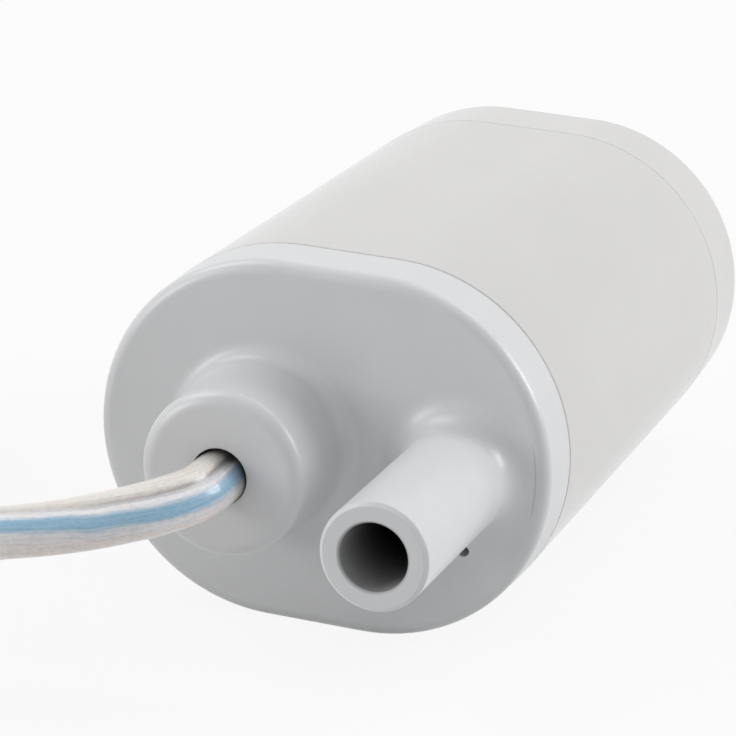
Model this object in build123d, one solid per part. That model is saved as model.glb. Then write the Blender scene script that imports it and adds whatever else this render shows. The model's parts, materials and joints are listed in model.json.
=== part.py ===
"""Submersible 12 V water pump for a caravan, lying on its broad side.

The pump's axis runs along Y: the cap with its cable boss and hose spigot faces -Y, the inlet
faces +Y. X runs across the width, Z up, and the origin lies on the floor under the middle.
Places along the pump are stations: distances behind the flat front face of the cap.
Heights in the piece outlines are measured from the pump's mid plane. All sizes in millimetres.
"""

from build123d import *
import math
import os

# Outline of the pump
WIDTH = 44.7
DEPTH = 35.1
BODY_LENGTH = 67.8
CAP_SKIRT = 6.2
BASE_SKIRT = 8.8
CAP_DRAFT = 0.15
HOUSING_DRAFT = 0.35
BASE_DRAFT = 0.35
CAP_EDGE_ROUND = 1.2
BASE_EDGE_ROUND = 0.5
SEAM_CHAMFER = 0.18
BASE_SEAM_CHAMFER = 0.08

# Walls and fits
SHELL_WALL = 2.0
CAP_WALL = 2.4
TONGUE_WALL = 1.4
TONGUE_LENGTH = 3.0
LINER_WALL = 1.6
DUCT_WALL = 1.1
FIT_GAP = 0.1
LOOSE_GAP = 0.3
RUNNING_GAP = 0.05
SHAFT_CHAMFER = 0.2
OVERRUN = 1.0

# Hose spigot and its duct, which passes beside the motor
SPIGOT_MOTOR_GAP = 1.35
SPIGOT_LENGTH = 22.9
SPIGOT_RADIUS = 5.0
SPIGOT_BORE_RADIUS = 3.15
SPIGOT_TIP_BREAK = 0.35
SPIGOT_BORE_BREAK = 0.18
SPIGOT_FLARE = 3.0
DUCT_RADIUS = 3.5
SLEEVE_RADIUS = 4.2
SLEEVE_LENGTH = 11.2
DUCT_SEAL_THICKNESS = 1.0

# Cable boss
MOTOR_X = -5.6
BOSS_LENGTH = 10.6
BOSS_RADIUS = 7.9
BOSS_DRAFT = 0.12
BOSS_TIP_ROUND = 1.4
BOSS_FLARE = 1.7
CABLE_HOLE_RADIUS = 2.7
CABLE_HOLE_DEPTH = 4.6
GROMMET_RADIUS = 4.6

# Vent beside the spigot
VENT_OFFSET = 0.7
VENT_DROP = 7.25
VENT_HOLE_RADIUS = 0.6
VENT_NOZZLE_WALL = 1.0
VENT_BALL_RADIUS = 1.4
VENT_BALL_TRAVEL = 1.0
VENT_NOZZLE_LENGTH = 9.7
VENT_CHANNEL_RADIUS = 0.9
VENT_TUBE_WALL = 1.5
BLEED_WIDTH = 1.2

# Motor
MOTOR_RADIUS = 13.85
MOTOR_LENGTH = 33.0
MOTOR_WALL = 1.0
MOTOR_NOSE_RADIUS = 5.0
MOTOR_NOSE_LENGTH = 1.5
MOTOR_POCKET_GAP = 0.15
MOTOR_SCREW_SPACING = 16.0
END_BELL_OUTSIDE = 1.9
END_BELL_INSIDE = 2.6
BUSH_RADIUS = 3.0
BUSH_LENGTH = 3.0
SHAFT_RADIUS = 1.15
MAGNET_WALL = 2.5
MAGNET_SPACING = 12.0
MAGNET_LENGTH = 24.0
MAGNET_START = 4.5
CLIP_THICKNESS = 0.5
AIR_GAP = 0.45
POLES = 5
POLE_SHOE_THICKNESS = 1.5
POLE_NECK_WIDTH = 3.0
POLE_SHOE_GAP = 1.6
CORE_LENGTH = 17.5
CORE_START = 10.8
CORE_HUB_RADIUS = 3.6
WINDING_OVERHANG = 2.6
WINDING_CHAMFER = 0.9
COMMUTATOR_RADIUS = 3.6
COMMUTATOR_HUB_RADIUS = 2.4
COMMUTATOR_LENGTH = 5.4
COMMUTATOR_SLOT = 0.4
WASHER_RADIUS = 2.2
WASHER_THICKNESS = 0.5
BRUSH_WIDTH = 2.4
BRUSH_HEIGHT = 3.0
BRUSH_LENGTH = 3.2
BRUSH_ARM_THICKNESS = 0.3
TERMINAL_WIDTH = 2.8
TERMINAL_THICKNESS = 0.5
TERMINAL_REACH = 3.6
TERMINAL_INSET = 1.35
CAPACITOR_RADIUS = 3.2
CAPACITOR_THICKNESS = 2.2
CAPACITOR_OFFSET = 6.0

# Bulkhead, seal, pump chamber and impeller
BULKHEAD = 4.0
SEAL_RADIUS = 4.25
SEAL_LENGTH = 2.4
SEAL_RIM_THICKNESS = 1.2
SEAL_LIP_THICKNESS = 0.6
SEAL_WEB_THICKNESS = 0.9
SEAL_LIP_RISE = 2.1
SEAL_BOSS_RISE = 0.9
SEAL_BOSS_WALL = 1.6
CHAMBER_RADIUS = 12.0
CHAMBER_DEPTH = 8.0
IMPELLER_RADIUS = 10.6
IMPELLER_DISC = 1.0
IMPELLER_HUB_RADIUS = 3.0
IMPELLER_HUB_LENGTH = 5.2
IMPELLER_BACK_GAP = 0.8
VANES = 6
VANE_THICKNESS = 1.0
VANE_HEIGHT = 4.4
VANE_SWEEP = 55.0
VANE_BEND_SHARE = 0.32
COVER_THICKNESS = 2.0
EYE_RADIUS = 4.6
EYE_COLLAR_WALL = 1.2
EYE_COLLAR_LENGTH = 2.0

# Screws with a slotted head on a plain shank
MOTOR_SCREW_RADIUS = 1.25
MOTOR_SCREW_HEAD_RADIUS = 2.2
MOTOR_SCREW_HEAD_LENGTH = 1.5
MOTOR_SCREW_LENGTH = 4.2
COVER_SCREW_RADIUS = 1.1
COVER_SCREW_HEAD_RADIUS = 2.0
COVER_SCREW_HEAD_LENGTH = 1.3
COVER_SCREW_LENGTH = 7.0
COVER_BOSS_RADIUS = 2.6
COVER_BOSS_CLEARANCE = 1.05
COVER_SCREW_ANGLES = (45.0, -70.0)
SCREW_SLOT_WIDTH = 0.6
SCREW_SLOT_DEPTH = 0.7

# Inlet base
BASE_FLOOR = 2.0
SLOT_WIDTH = 1.7
SLOT_PITCH = 3.4
SLOT_COUNT = 9
SLOT_LENGTH = 9.0
SLOT_BAR = 2.4
BASE_PANEL_INSET = 4.2
BASE_PANEL_DEPTH = 0.6

# Supply cable
CABLE_RADIUS = 2.6
LEAD_RADIUS = 0.75
LEAD_BEND = 1.6
TIP_RADIUS = 0.6
TIP_LENGTH = 7.0
SPLIT_LENGTH = 18.0
SPLIT_SPREAD = 2.2
COIL_RADIUS = 32.5
COIL_GAP = 0.5
COIL_TURNS_IN = 3
COIL_CENTRE = (-76.0, -18.5)
GAP_STEP = 1.5

# Places worked out from the sizes above
AXIS_HEIGHT = DEPTH / 2
FACE_Y = (SPIGOT_LENGTH - BODY_LENGTH) / 2
HOUSING_END = BODY_LENGTH - BASE_SKIRT
SPIGOT_X = MOTOR_X + MOTOR_RADIUS + SLEEVE_RADIUS + SPIGOT_MOTOR_GAP
VENT_X = SPIGOT_X + VENT_OFFSET
COVER_SCREW_REACH = DEPTH / 2 - SHELL_WALL - COVER_BOSS_RADIUS - COVER_BOSS_CLEARANCE
TONGUE_END = CAP_SKIRT + TONGUE_LENGTH
LINER_START = TONGUE_END + LOOSE_GAP
MOTOR_START = LINER_START + OVERRUN
BULKHEAD_START = MOTOR_START + MOTOR_LENGTH
CHAMBER_START = BULKHEAD_START + BULKHEAD
COVER_START = CHAMBER_START + CHAMBER_DEPTH
COVER_END = COVER_START + COVER_THICKNESS
MOTOR_POCKET_RADIUS = MOTOR_RADIUS + MOTOR_POCKET_GAP
SEAL_END = CHAMBER_START + SEAL_BOSS_RISE
SEAL_START = SEAL_END - SEAL_LENGTH
IMPELLER_START = SEAL_END + IMPELLER_BACK_GAP
SLEEVE_END = CAP_WALL + SLEEVE_LENGTH
SLEEVE_BORE_END = SLEEVE_END + DUCT_SEAL_THICKNESS
NOZZLE_END = CAP_WALL + VENT_NOZZLE_LENGTH
BALL_STATION = NOZZLE_END + LOOSE_GAP + VENT_BALL_TRAVEL + VENT_BALL_RADIUS
BALL_SEAT = BALL_STATION + VENT_BALL_RADIUS + LOOSE_GAP
BALL_CHAMBER_RADIUS = VENT_BALL_RADIUS + LOOSE_GAP
CAN_BORE = MOTOR_RADIUS - MOTOR_WALL
MAGNET_BORE = CAN_BORE - MAGNET_WALL
CORE_RADIUS = MAGNET_BORE - AIR_GAP
TERMINAL_OFFSET = MAGNET_BORE - TERMINAL_INSET
BELL_START = MOTOR_START - END_BELL_OUTSIDE
CORE_NEAR = MOTOR_START + CORE_START
CORE_FAR = CORE_NEAR + CORE_LENGTH
COMMUTATOR_FAR = CORE_NEAR - WINDING_OVERHANG
COMMUTATOR_NEAR = COMMUTATOR_FAR - COMMUTATOR_LENGTH
BRUSH_STATION = (COMMUTATOR_NEAR + COMMUTATOR_FAR) / 2
NOSE_END = BULKHEAD_START + MOTOR_NOSE_LENGTH
FRONT_BUSH_START = NOSE_END - BUSH_LENGTH
CORE_WIRE_RADIUS = CABLE_RADIUS / 2
COIL_PITCH = 2 * CABLE_RADIUS + COIL_GAP
LAYER_ONE = CABLE_RADIUS + FIT_GAP
LAYER_TWO = LAYER_ONE + COIL_PITCH

# Route of the cable from the boss to the coil: X, Y and height above the floor
CABLE_ROUTE = [
    (MOTOR_X, FACE_Y - BOSS_LENGTH, AXIS_HEIGHT),
    (MOTOR_X, -36.9, AXIS_HEIGHT),
    (-7.8, -40.6, 17.4),
    (-11.3, -43.6, 16.6),
    (-15.8, -46.3, 15.65),
    (-20.6, -48.4, 14.95),
    (-28.6, -50.7, 13.0),
    (-36.8, -51.3, 10.4),
    (-45.1, -51.2, 7.4),
    (-53.4, -51.1, 4.7),
    (-62.0, COIL_CENTRE[1] - COIL_RADIUS, LAYER_ONE),
    (COIL_CENTRE[0] + 2 * CABLE_RADIUS, COIL_CENTRE[1] - COIL_RADIUS, LAYER_ONE),
]


def at(station):
    """Y of a station behind the cap's face."""
    return FACE_Y + station


def looking_back(station):
    """Plane across the pump: its X and Y are the pump's X and height, its normal points to -Y."""
    return Plane(origin=(0, at(station), AXIS_HEIGHT), x_dir=(1, 0, 0), z_dir=(0, -1, 0))


def slab(outline, near, far):
    """Solid of an outline between two stations."""
    return extrude(looking_back(far) * outline, amount=far - near)


def rod(radius, near, far, x=MOTOR_X, height=0):
    """Cylinder along the pump between two stations."""
    return slab(Pos(x, height) * Circle(radius), near, far)


def ring(outer, inner, near, far, x=MOTOR_X, height=0):
    """Tube along the pump between two stations."""
    outline = Pos(x, height) * (Circle(outer) - Circle(inner))
    return slab(outline, near, far)


def turned(profile, x=MOTOR_X, height=0):
    """Solid turned about an axis along the pump, from corners given as radius and station."""
    corners = [(x + radius, at(station), AXIS_HEIGHT + height) for radius, station in profile]
    face = make_face(Polyline(*corners, close=True))
    axis = Axis((x, 0, AXIS_HEIGHT + height), (0, 1, 0))
    return revolve(face, axis=axis)


def stadium(inset=0.0):
    """Cross-section of the pump, drawn in by an inset all round."""
    return SlotOverall(WIDTH - 2 * inset, DEPTH - 2 * inset)


def drafted(inset, near, far, draft):
    """Stadium block that narrows by the draft from the near station to the far one."""
    direction = 1 if far > near else -1
    plane = Plane(origin=(0, at(near), AXIS_HEIGHT), x_dir=(1, 0, 0), z_dir=(0, direction, 0))
    length = abs(far - near)
    return extrude(plane * stadium(inset), amount=length, taper=math.degrees(math.atan(draft / length)))


def rim_edges(solid, first):
    """Outer edges of the first or last flat face along the pump."""
    faces = solid.faces().filter_by(Axis.Y).sort_by(Axis.Y)
    return (faces[0] if first else faces[-1]).outer_wire().edges()


def volute_outline():
    """Pump chamber with its outlet, which widens from the chamber to the duct."""
    span = SPIGOT_X - MOTOR_X
    lean = math.asin((CHAMBER_RADIUS - DUCT_RADIUS) / span)
    chamber_top = (MOTOR_X + CHAMBER_RADIUS * math.sin(lean), CHAMBER_RADIUS * math.cos(lean))
    duct_top = (SPIGOT_X + DUCT_RADIUS * math.sin(lean), DUCT_RADIUS * math.cos(lean))
    outlet = make_face(
        Polyline(
            (MOTOR_X, -DUCT_RADIUS),
            chamber_top,
            duct_top,
            (SPIGOT_X, 0),
            (SPIGOT_X, -DUCT_RADIUS),
            close=True,
        )
    )
    chamber = Pos(MOTOR_X, 0) * Circle(CHAMBER_RADIUS)
    duct = Pos(SPIGOT_X, 0) * Circle(DUCT_RADIUS)
    return chamber + duct + outlet


def cover_screw_places():
    """X and height of the two screws that hold the chamber cover."""
    centre = (WIDTH - DEPTH) / 2
    return [
        (
            centre + COVER_SCREW_REACH * math.cos(math.radians(angle)),
            COVER_SCREW_REACH * math.sin(math.radians(angle)),
        )
        for angle in COVER_SCREW_ANGLES
    ]


def motor_screw_places():
    """X and height of the two screws that hold the motor to the bulkhead."""
    return [(MOTOR_X, side * MOTOR_SCREW_SPACING / 2) for side in (1, -1)]


def housing():
    """Outer body with the motor liner, the water duct, the vent channel and the pump chamber."""
    body = drafted(0, CAP_SKIRT, HOUSING_END, HOUSING_DRAFT)
    body = chamfer(rim_edges(body, True), SEAM_CHAMFER)
    body = chamfer(rim_edges(body, False), BASE_SEAM_CHAMFER)
    inner = stadium(SHELL_WALL)
    dry_space = slab(inner, CAP_SKIRT - OVERRUN, BULKHEAD_START)
    wet_space = slab(inner, CHAMBER_START, HOUSING_END + OVERRUN)
    body -= dry_space
    body -= wet_space
    # Liner, duct and vent tubes stand in the dry space and grow into the shell
    tubes = rod(MOTOR_POCKET_RADIUS + LINER_WALL, LINER_START, BULKHEAD_START)
    tubes += rod(SLEEVE_RADIUS + FIT_GAP + DUCT_WALL, LINER_START, BULKHEAD_START, SPIGOT_X)
    vent_tube_radius = BALL_CHAMBER_RADIUS + VENT_TUBE_WALL
    tubes += rod(vent_tube_radius, LINER_START, BULKHEAD_START, VENT_X, -VENT_DROP)
    body += tubes & slab(inner, LINER_START, BULKHEAD_START)
    # Chamber walls, the seal's boss and the cover's screw bosses stand in the wet space
    volute = volute_outline()
    wall = offset(volute, LINER_WALL)
    body += slab(wall, CHAMBER_START, COVER_START)
    body -= slab(volute, CHAMBER_START, COVER_START)
    body += rod(SEAL_RADIUS + SEAL_BOSS_WALL, CHAMBER_START, SEAL_END)
    arc_centre = (WIDTH - DEPTH) / 2
    for angle, (x, height) in zip(COVER_SCREW_ANGLES, cover_screw_places()):
        rib = Pos(arc_centre, 0) * Rot(0, 0, angle) * Pos(COVER_SCREW_REACH + COVER_BOSS_RADIUS, 0)
        web = rib * Rectangle(2 * COVER_BOSS_RADIUS, LINER_WALL)
        body += slab(web, CHAMBER_START, COVER_START) & slab(stadium(SHELL_WALL / 2), CHAMBER_START, COVER_START)
        body += rod(COVER_BOSS_RADIUS, CHAMBER_START, COVER_START, x, height)
        body -= slab(volute, CHAMBER_START, COVER_START)
        body -= rod(COVER_SCREW_RADIUS, COVER_END - COVER_SCREW_LENGTH, COVER_START, x, height)
    # Bores: motor, nose, shaft, seal, duct, vent and screws
    body -= rod(MOTOR_POCKET_RADIUS, LINER_START - OVERRUN, BULKHEAD_START)
    body -= rod(MOTOR_NOSE_RADIUS + FIT_GAP, BULKHEAD_START, NOSE_END)
    body -= rod(SHAFT_RADIUS + LOOSE_GAP, BULKHEAD_START, SEAL_END)
    body -= rod(SEAL_RADIUS, SEAL_START, SEAL_END)
    body -= rod(DUCT_RADIUS, LINER_START - OVERRUN, CHAMBER_START, SPIGOT_X)
    body -= rod(SLEEVE_RADIUS + FIT_GAP, LINER_START - OVERRUN, SLEEVE_BORE_END, SPIGOT_X)
    body -= rod(VENT_CHANNEL_RADIUS, BALL_SEAT, CHAMBER_START, VENT_X, -VENT_DROP)
    body -= rod(BALL_CHAMBER_RADIUS, LINER_START - OVERRUN, BALL_SEAT, VENT_X, -VENT_DROP)
    bleed = Pos(VENT_X, -DUCT_RADIUS - LINER_WALL / 2) * Rectangle(BLEED_WIDTH, 2 * LINER_WALL)
    body -= slab(bleed, CHAMBER_START, CHAMBER_START + BLEED_WIDTH)
    for x, height in motor_screw_places():
        body -= rod(MOTOR_SCREW_RADIUS + FIT_GAP, BULKHEAD_START, CHAMBER_START, x, height)
        seat = CHAMBER_START - MOTOR_SCREW_HEAD_LENGTH
        body -= rod(MOTOR_SCREW_HEAD_RADIUS + FIT_GAP, seat, CHAMBER_START, x, height)
    return body


def cable_boss():
    """Outside of the boss that the cable leaves: a drafted stub with a rounded tip and a cove."""
    tip = -BOSS_LENGTH
    foot_radius = BOSS_RADIUS + BOSS_DRAFT
    rows = [
        (0, CAP_WALL),
        (foot_radius + BOSS_FLARE, CAP_WALL),
        (foot_radius + BOSS_FLARE, 0),
    ]
    points = [(MOTOR_X + radius, at(station), AXIS_HEIGHT) for radius, station in rows]
    foot_end = (MOTOR_X + foot_radius, at(-BOSS_FLARE), AXIS_HEIGHT)
    tip_start = (MOTOR_X + BOSS_RADIUS, at(tip + BOSS_TIP_ROUND), AXIS_HEIGHT)
    tip_end = (MOTOR_X + BOSS_RADIUS - BOSS_TIP_ROUND, at(tip), AXIS_HEIGHT)
    outline = Polyline(*points)
    outline += RadiusArc(points[-1], foot_end, -BOSS_FLARE, short_sagitta=True)
    outline += Line(foot_end, tip_start)
    outline += RadiusArc(tip_start, tip_end, BOSS_TIP_ROUND, short_sagitta=True)
    outline += Polyline(tip_end, (MOTOR_X, at(tip), AXIS_HEIGHT), points[0])
    return revolve(make_face(outline), axis=Axis((MOTOR_X, 0, AXIS_HEIGHT), (0, 1, 0)))


def hose_spigot():
    """Outside of the plain hose spigot with the cove at its foot."""
    tip = -SPIGOT_LENGTH
    rows = [
        (0, CAP_WALL / 2),
        (SPIGOT_RADIUS + SPIGOT_FLARE, CAP_WALL / 2),
        (SPIGOT_RADIUS + SPIGOT_FLARE, 0),
    ]
    points = [(SPIGOT_X + radius, at(station), AXIS_HEIGHT) for radius, station in rows]
    foot_end = (SPIGOT_X + SPIGOT_RADIUS, at(-SPIGOT_FLARE), AXIS_HEIGHT)
    tip_start = (SPIGOT_X + SPIGOT_RADIUS, at(tip + SPIGOT_TIP_BREAK), AXIS_HEIGHT)
    tip_end = (SPIGOT_X + SPIGOT_RADIUS - SPIGOT_TIP_BREAK, at(tip), AXIS_HEIGHT)
    outline = Polyline(*points)
    outline += RadiusArc(points[-1], foot_end, -SPIGOT_FLARE, short_sagitta=True)
    outline += Polyline(foot_end, tip_start, tip_end, (SPIGOT_X, at(tip), AXIS_HEIGHT), points[0])
    spigot = revolve(make_face(outline), axis=Axis((SPIGOT_X, 0, AXIS_HEIGHT), (0, 1, 0)))
    # The cove runs out where the cap's edge starts to round off
    return spigot & slab(stadium(CAP_DRAFT + CAP_EDGE_ROUND), tip, CAP_WALL / 2)


def bore_break():
    """Cone that breaks the edge of the spigot's bore."""
    tip = -SPIGOT_LENGTH
    rows = [
        (0, tip),
        (SPIGOT_BORE_RADIUS + SPIGOT_BORE_BREAK, tip),
        (SPIGOT_BORE_RADIUS, tip + SPIGOT_BORE_BREAK),
        (0, tip + SPIGOT_BORE_BREAK),
    ]
    points = [(SPIGOT_X + radius, at(station), AXIS_HEIGHT) for radius, station in rows]
    outline = Polyline(*points, close=True)
    return revolve(make_face(outline), axis=Axis((SPIGOT_X, 0, AXIS_HEIGHT), (0, 1, 0)))


def top_cap():
    """Cap with the cable boss, the hose spigot and its sleeve, the vent nozzle and the tongue."""
    cap = drafted(0, CAP_SKIRT, 0, CAP_DRAFT)
    cap = chamfer(rim_edges(cap, False), SEAM_CHAMFER)
    cap = fillet(rim_edges(cap, True), CAP_EDGE_ROUND)
    cap += slab(stadium(SHELL_WALL + FIT_GAP), CAP_SKIRT, TONGUE_END)
    cap -= slab(stadium(SHELL_WALL + FIT_GAP + TONGUE_WALL), CAP_WALL, TONGUE_END)
    cap += cable_boss()
    cap += hose_spigot()
    cap += rod(SLEEVE_RADIUS, CAP_WALL, SLEEVE_END, SPIGOT_X)
    nozzle_radius = VENT_HOLE_RADIUS + VENT_NOZZLE_WALL
    cap += rod(nozzle_radius, CAP_WALL, NOZZLE_END, VENT_X, -VENT_DROP)
    cap -= rod(SPIGOT_BORE_RADIUS, -SPIGOT_LENGTH, SLEEVE_END, SPIGOT_X)
    cap -= bore_break()
    cap -= rod(VENT_HOLE_RADIUS, -OVERRUN, NOZZLE_END, VENT_X, -VENT_DROP)
    cap -= rod(CABLE_HOLE_RADIUS, -BOSS_LENGTH, CAP_WALL)
    cap -= rod(GROMMET_RADIUS, CABLE_HOLE_DEPTH - BOSS_LENGTH, CAP_WALL)
    seal_inset = SHELL_WALL + FIT_GAP
    groove = stadium(seal_inset) - stadium(seal_inset + TONGUE_WALL / 2)
    cap -= slab(groove, *seal_groove())
    return cap


def seal_groove():
    """Stations of the groove for the cap's seal, in the middle of the tongue."""
    middle = CAP_SKIRT + TONGUE_LENGTH / 2
    return middle - TONGUE_WALL / 2, middle + TONGUE_WALL / 2


def cap_seal():
    """Rubber ring in the tongue's groove, pressed against the housing."""
    inner = SHELL_WALL + FIT_GAP + TONGUE_WALL / 2
    return slab(stadium(SHELL_WALL) - stadium(inner), *seal_groove())


def duct_seal():
    """Flat rubber ring between the cap's sleeve and the duct's shoulder."""
    return ring(SLEEVE_RADIUS, DUCT_RADIUS, SLEEVE_END, SLEEVE_BORE_END, SPIGOT_X)


def cable_grommet():
    """Rubber bush that grips the cable inside the boss."""
    return ring(GROMMET_RADIUS, CABLE_RADIUS, CABLE_HOLE_DEPTH - BOSS_LENGTH, CAP_WALL)


def vent_ball():
    """Loose ball that closes the vent nozzle once water has pushed the air out."""
    return Pos(VENT_X, at(BALL_STATION), AXIS_HEIGHT - VENT_DROP) * Sphere(VENT_BALL_RADIUS)


def motor_can():
    """Drawn steel can of the motor with the nose that holds the front bush."""
    far = BULKHEAD_START
    plate = far - MOTOR_WALL
    profile = [
        (MOTOR_RADIUS, MOTOR_START),
        (MOTOR_RADIUS, far),
        (MOTOR_NOSE_RADIUS, far),
        (MOTOR_NOSE_RADIUS, NOSE_END),
        (BUSH_RADIUS, NOSE_END),
        (BUSH_RADIUS, plate),
        (CAN_BORE, plate),
        (CAN_BORE, MOTOR_START),
    ]
    can = turned(profile)
    for x, height in motor_screw_places():
        can -= rod(MOTOR_SCREW_RADIUS, plate, far, x, height)
    return can


def magnet(side):
    """Arc magnet on one side of the motor: 1 for +X, -1 for -X."""
    arc = Circle(CAN_BORE) - Circle(MAGNET_BORE)
    half = Pos(side * (CAN_BORE + MAGNET_SPACING / 2), 0) * Rectangle(2 * CAN_BORE, 2 * CAN_BORE)
    near = MOTOR_START + MAGNET_START
    return slab(Pos(MOTOR_X, 0) * (arc & half), near, near + MAGNET_LENGTH)


def magnet_clips():
    """Two spring strips between the magnets that press them against the can."""
    band = Circle(CAN_BORE) - Circle(CAN_BORE - CLIP_THICKNESS)
    near = MOTOR_START + MAGNET_START
    far = near + MAGNET_LENGTH
    clips = []
    for side in (1, -1):
        window = Pos(0, side * CAN_BORE) * Rectangle(MAGNET_SPACING, CAN_BORE)
        clips.append(slab(Pos(MOTOR_X, 0) * (band & window), near, far))
    return clips


def end_bell():
    """Moulded rear cover of the motor, pushed into the can, with slots for the terminals."""
    profile = [
        (CAN_BORE, BELL_START),
        (CAN_BORE, MOTOR_START + END_BELL_INSIDE),
        (CAN_BORE - MAGNET_WALL, MOTOR_START + END_BELL_INSIDE),
        (CAN_BORE - MAGNET_WALL, MOTOR_START),
        (BUSH_RADIUS + LINER_WALL, MOTOR_START),
        (BUSH_RADIUS + LINER_WALL, BELL_START + BUSH_LENGTH),
        (BUSH_RADIUS, BELL_START + BUSH_LENGTH),
        (BUSH_RADIUS, BELL_START),
    ]
    bell = turned(profile)
    for side in (1, -1):
        slot = Pos(MOTOR_X + side * TERMINAL_OFFSET, 0) * Rectangle(TERMINAL_THICKNESS, TERMINAL_WIDTH)
        bell -= slab(slot, BELL_START, MOTOR_START)
    return bell


def rear_bush():
    """Sintered bronze bush in the end bell."""
    return ring(BUSH_RADIUS, SHAFT_RADIUS + RUNNING_GAP, BELL_START, BELL_START + BUSH_LENGTH)


def front_bush():
    """Sintered bronze bush in the can's nose."""
    return ring(BUSH_RADIUS, SHAFT_RADIUS + RUNNING_GAP, FRONT_BUSH_START, NOSE_END)


def motor_terminals():
    """Two brass tabs through the end bell."""
    near = BELL_START - TERMINAL_REACH
    blank = Rectangle(TERMINAL_THICKNESS, TERMINAL_WIDTH)
    return [
        slab(Pos(MOTOR_X + side * TERMINAL_OFFSET, 0) * blank, near, MOTOR_START)
        for side in (1, -1)
    ]


def brush_span():
    """Distance from the shaft's axis to a brush's face and to its back."""
    face = COMMUTATOR_RADIUS + RUNNING_GAP
    return face, face + BRUSH_LENGTH


def brush_arms():
    """Two springy copper arms from the terminals to the brushes."""
    _, back = brush_span()
    far = BRUSH_STATION + BRUSH_HEIGHT / 2
    arms = []
    for side in (1, -1):
        foot = Pos(MOTOR_X + side * (back + TERMINAL_OFFSET) / 2, 0)
        foot_length = TERMINAL_OFFSET - back + TERMINAL_THICKNESS
        plate = foot * Rectangle(foot_length, BRUSH_WIDTH)
        arm = slab(plate, MOTOR_START, MOTOR_START + BRUSH_ARM_THICKNESS)
        strip = Pos(MOTOR_X + side * (back + BRUSH_ARM_THICKNESS / 2), 0)
        arm += slab(strip * Rectangle(BRUSH_ARM_THICKNESS, BRUSH_WIDTH), MOTOR_START, far)
        arms.append(arm)
    return arms


def carbon_brushes():
    """Two carbon blocks on the arms, riding on the commutator."""
    face, back = brush_span()
    blank = Rectangle(back - face, BRUSH_WIDTH)
    near = BRUSH_STATION - BRUSH_HEIGHT / 2
    track = rod(COMMUTATOR_RADIUS + RUNNING_GAP, near, near + BRUSH_HEIGHT)
    brushes = []
    for side in (1, -1):
        block = slab(Pos(MOTOR_X + side * (face + back) / 2, 0) * blank, near, near + BRUSH_HEIGHT)
        brushes.append(block - track)
    return brushes


def suppression_capacitor():
    """Small disc capacitor across the terminals, lying on the end bell."""
    near = BELL_START - CAPACITOR_THICKNESS
    return rod(CAPACITOR_RADIUS, near, BELL_START, MOTOR_X, CAPACITOR_OFFSET)


def motor_shaft():
    """Steel shaft from the rear bush to the impeller."""
    end = IMPELLER_START + IMPELLER_HUB_LENGTH
    shaft = rod(SHAFT_RADIUS, BELL_START, end)
    return chamfer(rim_edges(shaft, True), SHAFT_CHAMFER)


def rotor_core():
    """Laminated core with its poles: a neck and a shoe each."""
    outline = Circle(CORE_HUB_RADIUS)
    rim = Circle(CORE_RADIUS) - Circle(CORE_RADIUS - POLE_SHOE_THICKNESS)
    for pole in range(POLES):
        turn = Rot(0, 0, 360 * pole / POLES)
        neck = Pos((CORE_RADIUS - POLE_SHOE_THICKNESS / 2) / 2, 0)
        outline += turn * neck * Rectangle(CORE_RADIUS - POLE_SHOE_THICKNESS / 2, POLE_NECK_WIDTH)
        half = Rot(0, 0, 360 * (pole + 1 / 2) / POLES)
        gap = half * Pos(CORE_RADIUS, 0) * Rectangle(2 * POLE_SHOE_THICKNESS + POLE_SHOE_GAP, POLE_SHOE_GAP)
        rim -= gap
    outline += rim
    outline -= Circle(SHAFT_RADIUS)
    return slab(Pos(MOTOR_X, 0) * outline, CORE_NEAR, CORE_FAR)


def rotor_windings():
    """Copper windings: they fill the slots and stand out at both ends of the core."""
    radius = CORE_RADIUS - POLE_SHOE_THICKNESS
    hub = COMMUTATOR_RADIUS
    near = CORE_NEAR - WINDING_OVERHANG
    far = CORE_FAR + WINDING_OVERHANG
    profile = [
        (hub, near),
        (radius - WINDING_CHAMFER, near),
        (radius, near + WINDING_CHAMFER),
        (radius, far - WINDING_CHAMFER),
        (radius - WINDING_CHAMFER, far),
        (hub, far),
    ]
    return turned(profile) - rotor_core() - rod(CORE_HUB_RADIUS, CORE_NEAR, CORE_FAR)


def commutator():
    """Copper segments of the commutator, one for each pole, with risers at the winding end."""
    outline = Circle(COMMUTATOR_RADIUS) - Circle(COMMUTATOR_HUB_RADIUS)
    for pole in range(POLES):
        turn = Rot(0, 0, 360 * (pole + 1 / 2) / POLES)
        outline -= turn * Pos(COMMUTATOR_RADIUS / 2, 0) * Rectangle(COMMUTATOR_RADIUS * 2, COMMUTATOR_SLOT)
    return [
        slab(Pos(MOTOR_X, 0) * face, COMMUTATOR_NEAR, COMMUTATOR_FAR) for face in outline.faces()
    ]


def commutator_hub():
    """Moulded hub that carries the copper segments on the shaft."""
    return ring(COMMUTATOR_HUB_RADIUS, SHAFT_RADIUS, COMMUTATOR_NEAR, CORE_NEAR)


def thrust_washers():
    """Two fibre washers that take up the rotor's end play."""
    near = BELL_START + BUSH_LENGTH + RUNNING_GAP
    far = FRONT_BUSH_START - RUNNING_GAP
    return [
        ring(WASHER_RADIUS, SHAFT_RADIUS, near, near + WASHER_THICKNESS),
        ring(WASHER_RADIUS, SHAFT_RADIUS, far - WASHER_THICKNESS, far),
    ]


def slotted_screw(radius, length, head_radius, head_length, under_head, x, height):
    """Screw whose shank points to the cap, with a driver slot across its head."""
    screw = rod(radius, under_head - length, under_head, x, height)
    screw += rod(head_radius, under_head, under_head + head_length, x, height)
    slot = Pos(x, height) * Rectangle(2 * head_radius, SCREW_SLOT_WIDTH)
    far = under_head + head_length
    return screw - slab(slot, far - SCREW_SLOT_DEPTH, far)


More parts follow.
